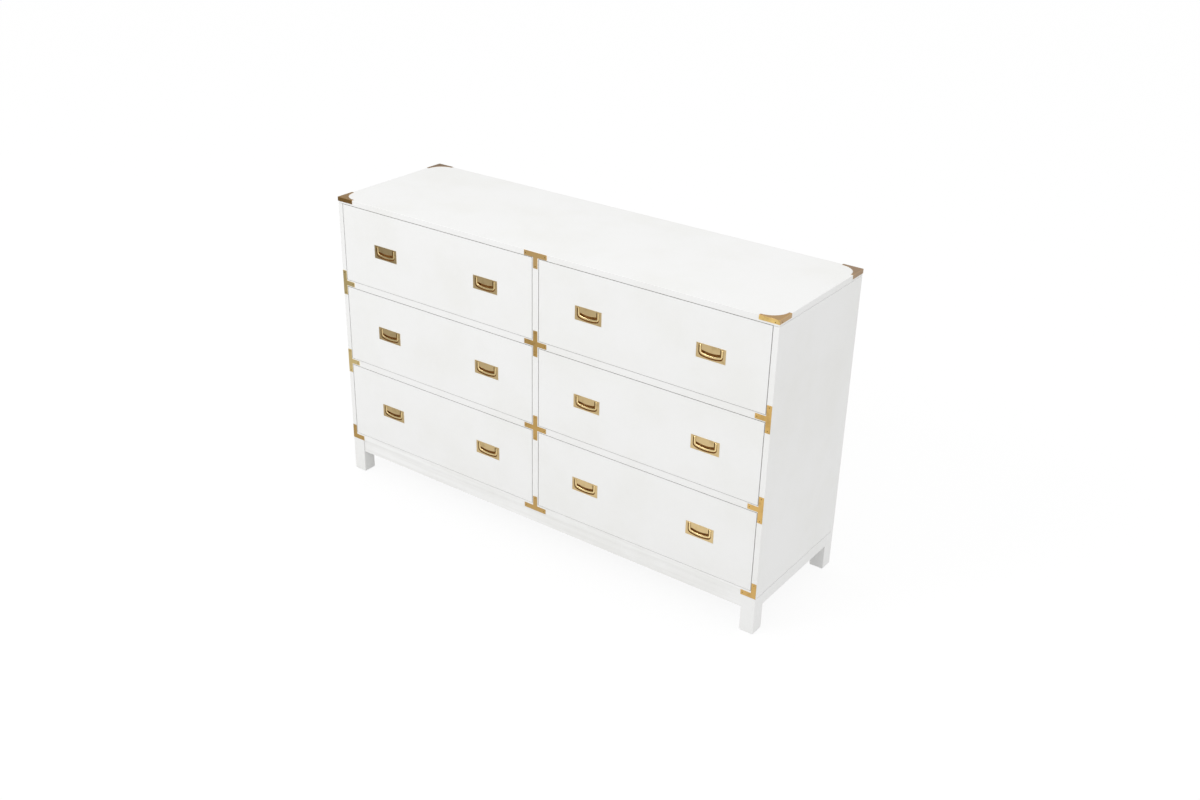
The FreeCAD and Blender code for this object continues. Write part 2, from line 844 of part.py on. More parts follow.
def pull_plate(label, centre):
    """A flush pull: a plate with a cup behind it, slotted for the bail and hollow for fingers."""
    body = new_body(label)
    half = sizes.pull_width / 2
    tall = sizes.pull_height / 2
    cup_half = half - sizes.cup_inset
    cup_tall = tall - sizes.cup_inset
    box(body, "Additive", (-half, 0, -tall), (half, sizes.plate_thickness, tall))
    box(
        body,
        "Additive",
        (-cup_half, sizes.plate_thickness, -cup_tall),
        (cup_half, layout.cup_depth, cup_tall),
    )
    fillet(body, limited(sizes.plate_round, sizes.plate_thickness), in_plane("Y", 0))
    bow_centre = layout.slot_bow_centre
    corner_level = Loose(level_on_bow(bow_centre, layout.slot_bow, layout.slot_half))
    slot = outline(
        body,
        "XZ_Plane",
        [
            (-layout.slot_half, layout.slot_top),
            (-layout.slot_half, corner_level),
            (layout.slot_half, corner_level),
            (layout.slot_half, layout.slot_top),
            (layout.slot_inner, layout.slot_top),
            (layout.slot_inner, layout.bar_level),
            (-layout.slot_inner, layout.bar_level),
            (-layout.slot_inner, layout.slot_top),
        ],
        {1: (0, bow_centre, layout.slot_bow)},
    )
    cut(body, slot, layout.slot_depth, "One side")
    corner_radius = sizes.bail_corner + sizes.bail_clearance
    fillet(body, corner_radius, low_corner(layout.slot_half, layout.slot_top))
    scoop_corner = Loose(level_on_bow(bow_centre, layout.scoop_bow, layout.slot_inner))
    scoop = outline(
        body,
        "XZ_Plane",
        [
            (-layout.slot_inner, scoop_corner),
            (layout.slot_inner, scoop_corner),
            (layout.slot_inner, layout.foot_level),
            (-layout.slot_inner, layout.foot_level),
        ],
        {0: (0, bow_centre, layout.scoop_bow)},
    )
    cut(body, scoop, sizes.scoop_depth, "One side")
    brow = all_of(in_plane("Y", 0), on_bow(layout.scoop_bow))
    fillet(body, limited(sizes.scoop_round, sizes.scoop_depth), brow)
    hole = sizes.bail_clearance + sizes.pin_engagement + sizes.pin_end_clearance
    for start in (-layout.bail_half - hole, layout.bail_half):
        rod_along_x(
            body,
            "Subtractive",
            (start, layout.pivot_depth, layout.pivot_level),
            layout.pin_radius + sizes.pin_clearance,
            hole,
        )
    place(body, centre)
    return body


def extrude(body, kind, sketch, length, sides):
    """Pad or pocket a sketch by a length, to one side of its plane or to both alike."""
    feature = body.newObject(f"PartDesign::{kind}", f"{body.Name}_{kind}")
    feature.Profile = sketch
    feature.SideType = sides
    bind(feature, {"Length": length})
    sketch.recompute()
    feature.recompute()


def cut(body, sketch, length, sides):
    """Pocket a sketch, and stop if that takes nothing away."""
    before = body.Tip.Shape.Volume
    extrude(body, "Pocket", sketch, length, sides)
    if body.Tip.Shape.Volume >= before:
        raise ValueError(f"{body.Label}: a pocket cuts nothing")


def on_bow(radius):
    """An edge test: it runs round a bow of this radius."""
    reach = as_size(radius).value

    def test(edge):
        round_edge = isinstance(edge.Curve, Part.Circle)
        return round_edge and math.isclose(edge.Curve.Radius, reach, abs_tol=NEAR)

    return test


def low_corner(x, below):
    """An edge test: it runs straight through the plate at a lower corner, at x to either side."""
    reach = as_size(x).value
    level = as_size(below).value

    def test(edge):
        bounds = edge.BoundBox
        through = bounds.YLength > bounds.DiagonalLength / 2
        at_side = math.isclose(abs(bounds.Center.x), reach, abs_tol=NEAR)
        return through and at_side and bounds.Center.z < level - NEAR

    return test


def bail(label, pivot):
    """A drop bail: two flat arms and a bowed bar, rounded all over, with a pin on each arm."""
    body = new_body(label)
    half = layout.bail_half
    inner = layout.bail_inner
    top = layout.bail_end
    bow_centre = sizes.bail_bow_radius - layout.bail_reach
    outer_level = Loose(level_on_bow(bow_centre, sizes.bail_bow_radius, half))
    inner_level = Loose(level_on_bow(bow_centre, layout.bail_inner_bow, inner))
    shape = outline(
        body,
        "XZ_Plane",
        [
            (-half, top),
            (-half, outer_level),
            (half, outer_level),
            (half, top),
            (inner, top),
            (inner, inner_level),
            (-inner, inner_level),
            (-inner, top),
        ],
        {1: (0, bow_centre, sizes.bail_bow_radius), 5: (0, bow_centre, layout.bail_inner_bow)},
    )
    extrude(body, "Pad", shape, sizes.bail_thickness, "Symmetric")
    fillet(body, sizes.bail_corner, low_corner(half, top))
    fillet(body, sizes.bail_inner_corner, low_corner(inner, top))
    half_thick = sizes.bail_thickness / 2
    fillet(body, layout.bail_edge, any_of(in_plane("Y", -half_thick), in_plane("Y", half_thick)))
    pin = sizes.bail_arm_width / 2 + sizes.bail_clearance + sizes.pin_engagement
    pin_end = half + sizes.bail_clearance + sizes.pin_engagement
    for start in (-pin_end, pin_end - pin):
        rod_along_x(body, "Additive", (start, 0, 0), layout.pin_radius, pin)
    place(body, pivot)
    return body


def build_drawer(row, column):
    """One drawer with its box, slide runners, two pulls and their bails."""
    name = f"{row}_{column}"
    x0 = column_middle(column)
    y0 = layout.drawer_face
    z0 = row_floor(row) + sizes.foot_gap
    origin = (x0, y0, z0)
    drawer_front(name, origin)
    drawer_walls(name, origin)
    drawer_bottom(name, origin)
    drawer_runners(name, origin)
    plates = []
    plate_face = y0 - sizes.plate_thickness
    level = z0 + layout.front_height / 2
    for side, sign in COLUMNS.items():
        x = x0 + sign * sizes.pull_spacing / 2
        plates.append(pull_plate(f"{name}_{side}_plate", (x, plate_face, level)))
        pivot = (x, plate_face + layout.pivot_depth, level + layout.pivot_level)
        handle = bail(f"{name}_{side}_bail", pivot)
        finish(handle, handle.Label)
    group(f"{name}_pull_plates", plates)


def check_and_write():
    """Stop on any failed object or empty shape, then write each sub-part to its own file."""
    doc.recompute()
    for thing in doc.Objects:
        if {"Invalid", "Error"} & set(thing.State):
            raise RuntimeError(f"{thing.Label}: {thing.State}")
    for part in sub_parts:
        if part.Shape.isNull() or not part.Shape.isValid() or not part.Shape.Solids:
            raise RuntimeError(f"{part.Label}: no valid solid")
    os.makedirs("parts", exist_ok=True)
    for part in sub_parts:
        part.Shape.exportStep(f"parts/{part.Label}.step")


build_case()
build_base()
build_straps()
build_corner_brackets()
build_channels()
for row in ROWS:
    for column in COLUMNS:
        build_drawer(row, column)
check_and_write()
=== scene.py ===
"""Looks of a campaign chest: six inset drawers, metal straps and flush pulls on a low painted base.

Sizes are in metres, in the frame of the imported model: X to the right as seen from the front,
Y to the back, Z up, with the origin on the floor under the middle of the chest.
"""

from __future__ import annotations

import json
import logging
import math
from dataclasses import dataclass, field
from enum import Enum
from typing import Any, Iterable, Sequence

import bpy
from mathutils import Matrix, Vector

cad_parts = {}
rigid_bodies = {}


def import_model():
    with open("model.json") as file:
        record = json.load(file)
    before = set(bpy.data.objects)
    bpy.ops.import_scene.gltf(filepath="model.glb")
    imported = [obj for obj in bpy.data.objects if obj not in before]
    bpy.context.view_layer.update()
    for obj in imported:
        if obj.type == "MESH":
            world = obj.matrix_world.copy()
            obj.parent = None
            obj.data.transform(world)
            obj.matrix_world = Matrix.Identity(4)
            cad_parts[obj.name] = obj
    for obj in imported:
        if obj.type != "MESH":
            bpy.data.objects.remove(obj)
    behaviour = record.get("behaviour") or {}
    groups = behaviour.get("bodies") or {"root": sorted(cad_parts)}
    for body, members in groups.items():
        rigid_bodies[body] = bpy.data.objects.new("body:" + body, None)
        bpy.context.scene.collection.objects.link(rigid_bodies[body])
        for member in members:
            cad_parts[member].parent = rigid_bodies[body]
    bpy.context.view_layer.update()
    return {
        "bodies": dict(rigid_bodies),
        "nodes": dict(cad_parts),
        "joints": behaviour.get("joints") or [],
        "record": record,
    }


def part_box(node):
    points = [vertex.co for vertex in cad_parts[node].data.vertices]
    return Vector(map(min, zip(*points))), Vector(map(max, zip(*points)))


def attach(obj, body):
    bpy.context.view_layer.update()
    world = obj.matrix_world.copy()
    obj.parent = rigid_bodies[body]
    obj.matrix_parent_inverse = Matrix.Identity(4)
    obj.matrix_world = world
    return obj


log = logging.getLogger("campaign_chest")

CASE_BODY = "case"
STEEL_SLOT = "slide_steel"
FACING = "facing"
NOISE_MIDDLE = 0.5
WHITE = (1.0, 1.0, 1.0)

Colour = tuple[float, float, float]
Point = tuple[float, float, float]
Place = tuple[Vector, "Facing"]


class Row(Enum):
    """The rows of drawers, from the floor up."""

    BOTTOM = "bottom"
    MIDDLE = "middle"
    TOP = "top"


class Side(Enum):
    """Left or right as seen from the front."""

    LEFT = "left"
    RIGHT = "right"


class Facing(Enum):
    """The way a surface with screws looks."""

    BACK = (0.0, 1.0, 0.0)
    LEFT = (-1.0, 0.0, 0.0)
    RIGHT = (1.0, 0.0, 0.0)


class Axis(Enum):
    """An axis of the chest, by its place in a vector."""

    ACROSS = 0
    DEEP = 1
    UP = 2


class Wire:
    """An output socket of a node, on which Python's operators add Math nodes."""

    def __init__(self, graph: Graph, socket: bpy.types.NodeSocket) -> None:
        """Keep the socket and the graph it belongs to."""
        self.graph = graph
        self.socket = socket

    def __add__(self, other: Number) -> Wire:
        """The sum of two values."""
        return self.graph.math("ADD", self, other)

    def __radd__(self, other: Number) -> Wire:
        """The sum of two values, when the first is a plain number."""
        return self.graph.math("ADD", other, self)

    def __sub__(self, other: Number) -> Wire:
        """The difference of two values."""
        return self.graph.math("SUBTRACT", self, other)

    def __rsub__(self, other: Number) -> Wire:
        """The difference of two values, when the first is a plain number."""
        return self.graph.math("SUBTRACT", other, self)

    def __mul__(self, other: Number) -> Wire:
        """The product of two values."""
        return self.graph.math("MULTIPLY", self, other)

    def most(self, other: Number) -> Wire:
        """The larger of two values."""
        return self.graph.math("MAXIMUM", self, other)

    def swing(self, by: float, middle: float = NOISE_MIDDLE) -> Wire:
        """The distance from the middle of a pattern, multiplied."""
        return (self - middle) * by

    def ramp(self, low: float, high: float) -> Wire:
        """Rise smoothly from 0 at one value to 1 at another.

        Args:
            low: the value at which the result is 0.
            high: the value at which the result is 1.

        Returns:
            The result, kept between 0 and 1.
        """
        node = self.graph.add(
            "ShaderNodeMapRange",
            {"interpolation_type": "SMOOTHSTEP"},
            {"Value": self, "From Min": low, "From Max": high},
        )
        return self.graph.wire(node, "Result")


Number = Wire | float


class Graph:
    """A node tree, with one method that adds any node and a few for those used most."""

    def __init__(self, tree: bpy.types.NodeTree) -> None:
        """Start on an emptied tree."""
        self.tree = tree
        tree.nodes.clear()

    def add(
        self,
        kind: str,
        settings: dict[str, Any] | None = None,
        sockets: dict[Any, Any] | None = None,
    ) -> bpy.types.Node:
        """Add a node.

        Args:
            kind: the node's type.
            settings: its properties, which are set first.
            sockets: values or wires for its inputs, by name or number.

        Returns:
            The new node.
        """
        node = self.tree.nodes.new(kind)
        for name, value in (settings or {}).items():
            setattr(node, name, value)
        for key, value in (sockets or {}).items():
            if isinstance(value, Wire):
                self.tree.links.new(value.socket, node.inputs[key])
            else:
                node.inputs[key].default_value = value
        return node

    def wire(self, node: bpy.types.Node, output: str | int = 0) -> Wire:
        """One output of a node."""
        return Wire(self, node.outputs[output])

    def math(self, operation: str, first: Number, second: Number) -> Wire:
        """Add a Math node on two values."""
        node = self.add("ShaderNodeMath", {"operation": operation}, {0: first, 1: second})
        return self.wire(node)

    def place(self) -> Wire:
        """The point on the object."""
        return self.wire(self.add("ShaderNodeTexCoord"), "Object")

    def parts(self, vector: Wire) -> list[Wire]:
        """The three parts of a vector."""
        node = self.add("ShaderNodeSeparateXYZ", None, {0: vector})
        return [self.wire(node, axis.value) for axis in Axis]

    def joined(self, x: Number, y: Number, z: Number) -> Wire:
        """A vector from its three parts."""
        return self.wire(self.add("ShaderNodeCombineXYZ", None, {0: x, 1: y, 2: z}))

    def stretched(self, vector: Wire, by: Sequence[float]) -> Wire:
        """A vector with each part multiplied."""
        node = self.add(
            "ShaderNodeVectorMath", {"operation": "MULTIPLY"}, {0: vector, 1: tuple(by)}
        )
        return self.wire(node)

    def blend(self, share: Number, first: Wire | Colour, second: Wire | Colour) -> Wire:
        """Go from one colour to another.

        Args:
            share: how much of the second colour, from 0 to 1.
            first: a colour or a wire.
            second: a colour or a wire.

        Returns:
            The mixed colour.
        """
        ends = [c if isinstance(c, Wire) else (*c, 1.0) for c in (first, second)]
        node = self.add(
            "ShaderNodeMix", {"data_type": "RGBA"}, {0: share, 6: ends[0], 7: ends[1]}
        )
        return self.wire(node, 2)

    def mixed(self, share: Number, first: Wire, second: Wire) -> Wire:
        """Go from one shader to another."""
        return self.wire(self.add("ShaderNodeMixShader", None, {0: share, 1: first, 2: second}))

    def surface(self, sockets: dict[str, Any]) -> None:
        """End the tree in a Principled shader with these sockets."""
        shader = self.add("ShaderNodeBsdfPrincipled", None, sockets)
        self.add("ShaderNodeOutputMaterial", None, {"Surface": self.wire(shader)})


def new_graph(name: str) -> tuple[bpy.types.Material, Graph]:
    """A new material and the graph of its nodes."""
    material = bpy.data.materials.new(name)
    material.use_nodes = True
    return material, Graph(material.node_tree)


@dataclass(frozen=True)
class Layer:
    """A cloudy pattern, and how much of it shows.

    Attributes:
        scale: its cells to a metre.
        detail: how many finer patterns lie over it.
        rough: how much the finer ones count.
        low: the value at which it starts to show.
        high: the value from which it shows most.
        share: how much it then shows.
        stretch: what each part of a place is multiplied by, where the pattern is drawn out.
    """

    scale: float
    detail: float
    rough: float
    low: float = 0.0
    high: float = 1.0
    share: float = 1.0
    stretch: Point | None = None

    def noise(self, graph: Graph, place: Wire) -> Wire:
        """The plain pattern at a place, from 0 to 1."""
        node = graph.add(
            "ShaderNodeTexNoise",
            None,
            {
                "Vector": graph.stretched(place, self.stretch) if self.stretch else place,
                "Scale": self.scale,
                "Detail": self.detail,
                "Roughness": self.rough,
            },
        )
        return graph.wire(node, "Fac")

    def shown(self, pattern: Wire) -> Wire:
        """How much of the plain pattern shows, from 0 to the share."""
        return pattern.ramp(self.low, self.high) * self.share


@dataclass(frozen=True)
class Relief:
    """The fine relief of a surface: how strongly it shows, and how high it is."""

    strength: float
    height: float

    def normal(self, graph: Graph, pattern: Wire) -> Wire:
        """The normal of a surface with this relief in a pattern."""
        node = graph.add(
            "ShaderNodeBump",
            None,
            {"Height": pattern, "Strength": self.strength, "Distance": self.height},
        )
        return graph.wire(node)


@dataclass(frozen=True)
class ShadeAndStain:
    """A tint that grows along one axis of the chest and may dull the surface: painted shade in the
    gaps, painted shade and painted reflections on the brass straps and brackets, and patina with
    painted shade in the pulls' pockets.

    Attributes:
        colour: the tint.
        axis: the axis along which it grows.
        start: where on the axis it starts.
        end: where it has grown.
        share: how much it then covers.
        dullness: what it adds to the roughness there.
        span: how far it goes on past its end, and then takes to fade, or no value if it stays.
    """

    colour: Colour
    axis: Axis
    start: float
    end: float
    share: float
    dullness: float = 0.0
    span: float | None = None

    def grown(self, graph: Graph, place: Wire) -> Wire:
        """How far the stain has grown at a place, from 0 to 1."""
        along = graph.parts(place)[self.axis.value]
        grown = along.ramp(self.start, self.end)
        if self.span is None:
            return grown
        last = self.end + self.span
        return grown * along.ramp(last + self.span, last)


@dataclass(frozen=True)
class WhitePaint:
    """Satin white paint, rolled on smooth board: a fine peel, faint clouds and an uneven sheen."""

    name: str = "white_paint"
    shades_and_stains: tuple[ShadeAndStain, ...] = ()
    brushing: float = 0.0
    tone: Colour = (0.85, 0.85, 0.843)
    cloud_tone: Colour = (0.825, 0.824, 0.806)
    stroke_tone: Colour = (0.785, 0.782, 0.765)
    clouds: Layer = Layer(5.0, 4.0, 0.6, low=0.35, high=0.75)
    strokes: Layer = Layer(110.0, 3.0, 0.6, low=0.42, high=0.68, stretch=(0.02, 1.0, 1.0))
    peel: Layer = Layer(620.0, 2.0, 0.45, share=0.6)
    roller: Layer = Layer(70.0, 3.0, 0.55, share=0.4)
    relief: Relief = Relief(0.35, 0.00012)
    roughness: float = 0.42
    unevenness: float = 0.12
    sheen: float = 0.14

    def material(self) -> bpy.types.Material:
        """The paint as a material."""
        material, graph = new_graph(self.name)
        place = graph.place()
        clouds = self.clouds.shown(self.clouds.noise(graph, place))
        peel = self.peel.noise(graph, place)
        roller = self.roller.noise(graph, place)
        coat = graph.blend(clouds, self.tone, self.cloud_tone)
        if self.brushing > 0.0:
            strokes = self.strokes.shown(self.strokes.noise(graph, place))
            coat = graph.blend(strokes * self.brushing, coat, self.stroke_tone)
        # Painted shade: each tint darkens the paint in the gaps just behind the drawer fronts and
        # rails.
        for shade_and_stain in self.shades_and_stains:
            coat = graph.blend(shade_and_stain.grown(graph, place) * shade_and_stain.share, coat, shade_and_stain.colour)
        pattern = peel * self.peel.share + roller * self.roller.share
        graph.surface(
            {
                "Base Color": coat,
                "Roughness": self.roughness + roller.swing(self.unevenness),
                "Specular IOR Level": self.sheen,
                "Normal": self.relief.normal(graph, pattern),
            }
        )
        return material


@dataclass(frozen=True)
class BackBoard:
    """A thin pressed board with an off-white face, in which fine fibres show."""

    name: str = "back_board"
    tone: Colour = (0.80, 0.79, 0.755)
    fibre_tone: Colour = (0.66, 0.63, 0.565)
    fibres: Layer = Layer(
        260.0, 4.0, 0.65, low=0.52, high=0.8, share=0.6, stretch=(1.0, 1.0, 0.22)
    )
    clouds: Layer = Layer(3.0, 3.0, 0.55, low=0.4, high=0.8, share=0.25)
    relief: Relief = Relief(0.3, 0.0002)
    roughness: float = 0.62
    unevenness: float = 0.15

    def material(self) -> bpy.types.Material:
        """The board as a material."""
        material, graph = new_graph(self.name)
        place = graph.place()
        fibres = self.fibres.noise(graph, place)
        clouds = self.clouds.noise(graph, place)
        share = self.fibres.shown(fibres) + self.clouds.shown(clouds)
        graph.surface(
            {
                "Base Color": graph.blend(share, self.tone, self.fibre_tone),
                "Roughness": self.roughness + fibres.swing(self.unevenness),
                "Normal": self.relief.normal(graph, fibres),
            }
        )
        return material


@dataclass(frozen=True)
class Rings:
    """Growth rings, as wavy bands: their scale, how they bend, and how much of them shows."""

    scale: float = 16.0
    bend: float = 9.0
    detail: float = 3.0
    detail_scale: float = 1.6
    low: float = 0.25
    high: float = 1.0
    share: float = 0.5

    def shown(self, graph: Graph, place: Wire) -> Wire:
        """How much of the rings shows at a place, from 0 to the share."""
        node = graph.add(
            "ShaderNodeTexWave",
            {"wave_type": "BANDS", "bands_direction": "Z"},
            {
                "Vector": place,
                "Scale": self.scale,
                "Distortion": self.bend,
                "Detail": self.detail,
                "Detail Scale": self.detail_scale,
            },
        )
        return graph.wire(node, "Fac").ramp(self.low, self.high) * self.share


@dataclass(frozen=True)
class PaleWood:
    """Pale drawer wood under clear lacquer, with growth rings, long fibres and short pores."""

    name: str
    grain: Axis
    turn: float | None = None
    seam: float = 0.0005
    light: Colour = (0.74, 0.58, 0.395)
    dark: Colour = (0.565, 0.395, 0.225)
    pore_tone: Colour = (0.40, 0.26, 0.14)
    ring_press: float = 0.07
    rings: Rings = Rings()
    drift: Layer = Layer(5.0, 3.0, 0.5, low=0.3, high=0.75, share=0.3)
    fibre_press: float = 0.02
    fibres: Layer = Layer(420.0, 3.0, 0.6, share=0.2)
    pores: Layer = Layer(714.0, 1.0, 0.4, low=0.66, high=0.76)
    pore_share: float = 0.55
    pore_depth: float = 0.8
    relief: Relief = Relief(0.3, 0.00025)
    roughness: float = 0.42
    unevenness: float = 0.2

    def material(self) -> bpy.types.Material:
        """The wood as a material."""
        material, graph = new_graph(self.name)
        place = graph.place()
        along = self.drawn_out(graph, place, self.ring_press)
        long_way = self.drawn_out(graph, place, self.fibre_press)
        drift = self.drift.shown(self.drift.noise(graph, along))
        fibres = self.fibres.noise(graph, long_way)
        pores = self.pores.shown(self.pores.noise(graph, long_way))
        share = self.rings.shown(graph, along) + drift + fibres * self.fibres.share
        wood = graph.blend(share, self.light, self.dark)
        graph.surface(
            {
                "Base Color": graph.blend(pores * self.pore_share, wood, self.pore_tone),
                "Roughness": self.roughness + fibres.swing(self.unevenness),
                "Normal": self.relief.normal(graph, fibres - pores * self.pore_depth),
            }
        )
        return material

    def drawn_out(self, graph: Graph, place: Wire, by: float) -> Wire:
        """A place on the wood, pressed together along the grain so that patterns run long there.

        Args:
            graph: the tree in which it is made.
            place: the point on the object.
            by: what the part along the grain is multiplied by.

        Returns:
            The pressed place. Past the depth at which the grain turns, it runs across.
        """
        if self.turn is None:
            return graph.stretched(place, [by if axis is self.grain else 1.0 for axis in Axis])
        across, deep, up = graph.parts(place)
        turned = deep.ramp(self.turn - self.seam, self.turn) * (1.0 - by)
        return graph.joined(across * (1.0 - turned), deep * (turned + by), up)


@dataclass(frozen=True)
class SatinBrass:
    """Satin brass with soft rubbing marks, clouds of brown patina, and tints where it has them:
    painted shade, painted reflections, and patina with painted shade in the pulls' pockets.
    """

    name: str
    tone: Colour
    shades_and_stains: tuple[ShadeAndStain, ...] = ()
    roughness: float = 0.27
    tarnish: Colour = (0.32, 0.19, 0.06)
    patina: Layer = Layer(38.0, 5.0, 0.62, low=0.45, high=0.82, share=0.55)
    specks: Layer = Layer(900.0, 2.0, 0.5, low=0.62, high=0.8, share=0.2)
    rubbing: Layer = Layer(1.0, 2.0, 0.5, stretch=(60.0, 900.0, 900.0))
    patina_dullness: float = 0.14
    rubbing_dullness: float = 0.1
    rubbing_height: float = 0.5
    speck_height: float = 0.5
    relief: Relief = Relief(0.12, 0.00008)

    def material(self) -> bpy.types.Material:
        """The brass as a material."""
        material, graph = new_graph(self.name)
        place = graph.place()
        patina = self.patina.noise(graph, place)
        specks = self.specks.noise(graph, place)
        rubbed = self.rubbing.noise(graph, place)
        share = self.patina.shown(patina) + self.specks.shown(specks)
        brass = graph.blend(share, self.tone, self.tarnish)
        rough = self.roughness + patina * self.patina_dullness
        rough = rough + rubbed.swing(self.rubbing_dullness)
        # Painted shade and painted reflections on the brass, and patina with painted shade in the
        # pulls' pockets.
        for shade_and_stain in self.shades_and_stains:
            grown = shade_and_stain.grown(graph, place)
            brass = graph.blend(grown * shade_and_stain.share, brass, shade_and_stain.colour)
            rough = rough + grown * shade_and_stain.dullness
        pattern = rubbed * self.rubbing_height + specks * self.speck_height
        graph.surface(
            {
                "Base Color": brass,
                "Metallic": 1.0,
                "Roughness": rough,
                "Normal": self.relief.normal(graph, pattern),
            }
        )
        return material


@dataclass(frozen=True)
class ZincSteel:
    """Rolled steel strip with bright zinc on it: fine lines along its length and pale spangles."""

    name: str = "slide_steel"
    tone: Colour = (0.60, 0.61, 0.625)
    dull: Colour = (0.43, 0.44, 0.455)
    lines: Layer = Layer(
        1500.0, 2.0, 0.55, low=0.4, high=0.75, share=0.55, stretch=(1.0, 0.008, 1.0)
    )
    spangle_scale: float = 170.0
    spangle_low: float = 0.2
    spangle_high: float = 0.8
    spangle_share: float = 0.35
    spangle_middle: float = 0.4
    relief: Relief = Relief(0.15, 0.00008)
    roughness: float = 0.32
    unevenness: float = 0.12

    def material(self) -> bpy.types.Material:
        """The steel as a material."""
        material, graph = new_graph(self.name)
        place = graph.place()
        lines = self.lines.noise(graph, place)
        cells = graph.add(
            "ShaderNodeTexVoronoi", None, {"Vector": place, "Scale": self.spangle_scale}
        )
        spangles = graph.wire(cells, "Distance")
        pale = spangles.ramp(self.spangle_low, self.spangle_high) * self.spangle_share
        share = self.lines.shown(lines) + pale
        graph.surface(
            {
                "Base Color": graph.blend(share, self.tone, self.dull),
                "Metallic": 1.0,
                "Roughness": self.roughness
                + spangles.swing(self.unevenness, self.spangle_middle),
                "Normal": self.relief.normal(graph, lines),
            }
        )
        return material


def seen_rays(graph: Graph) -> tuple[Wire, Wire]:
    """The rays that show a surface.

    Args:
        graph: the tree in which they are asked for.

    Returns:
        1 for a ray from the eye or through clear matter, and 1 for one from a shiny surface.
    """
    path = graph.add("ShaderNodeLightPath")
    eye = graph.wire(path, "Is Camera Ray").most(graph.wire(path, "Is Transmission Ray"))
    return eye, graph.wire(path, "Is Glossy Ray")


@dataclass(frozen=True)
class StudioWhite:
    """A white studio floor: it glows a little, is white to the eye and a pool of light to metal."""

    name: str = "studio_white"
    tone: Colour = (0.82, 0.82, 0.82)
    glow_share: float = 0.35
    glow: float = 0.6
    lift: float = 0.88
    pool_left: float = -3.0
    pool_right: float = 0.6
    pool_edge: float = 0.22
    pool_front: float = 0.0
    pool_back: float = 1.8
    back_loss: float = 0.3

    def material(self) -> bpy.types.Material:
        """The floor as a material."""
        material, graph = new_graph(self.name)
        eye, shiny = seen_rays(graph)
        matt, white = self.diffuse(graph, self.tone), self.shining(graph, 1.0)
        lit = graph.mixed(self.glow_share, matt, self.shining(graph, self.glow))
        lifted = graph.mixed(self.lift, self.diffuse(graph, WHITE), white)
        across, deep, _ = graph.parts(graph.place())
        behind = deep.ramp(self.pool_front, self.pool_back)
        near = across.ramp(self.pool_left, self.pool_right) * (1.0 - behind * self.back_loss)
        pool = graph.mixed(near, self.shining(graph, self.pool_edge), white)
        seen = graph.mixed(eye, graph.mixed(shiny, lit, pool), lifted)
        graph.add("ShaderNodeOutputMaterial", None, {"Surface": seen})
        return material

    def diffuse(self, graph: Graph, tone: Colour) -> Wire:
        """A plain matt shader."""
        return graph.wire(graph.add("ShaderNodeBsdfDiffuse", None, {"Color": (*tone, 1.0)}))

    def shining(self, graph: Graph, strength: float) -> Wire:
        """A shader that gives off white light."""
        return graph.wire(graph.add("ShaderNodeEmission", None, {"Strength": strength}))


class Workshop:
    """The nodes of the loaded frame, and the few jobs that every sub-assembly needs."""

    def __init__(self, frame: dict[str, Any]) -> None:
        """Keep the frame's nodes."""
        self.nodes: dict[str, bpy.types.Object] = frame["nodes"]

    def dress(self, names: Iterable[str], material: bpy.types.Material) -> None:
        """Put a finish on nodes of the frame.

        Args:
            names: the nodes.
            material: the finish.
        """
        for name in names:
            for slot in self.nodes[name].material_slots:
                slot.material = material
            log.info("dressed %s in %s", name, material.name)

    def keep(self, piece: bpy.types.Object, body: str, slot: str) -> None:
        """Let a new piece move with a body."""
        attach(piece, body)
        log.info("built %s on %s", piece.name, body)


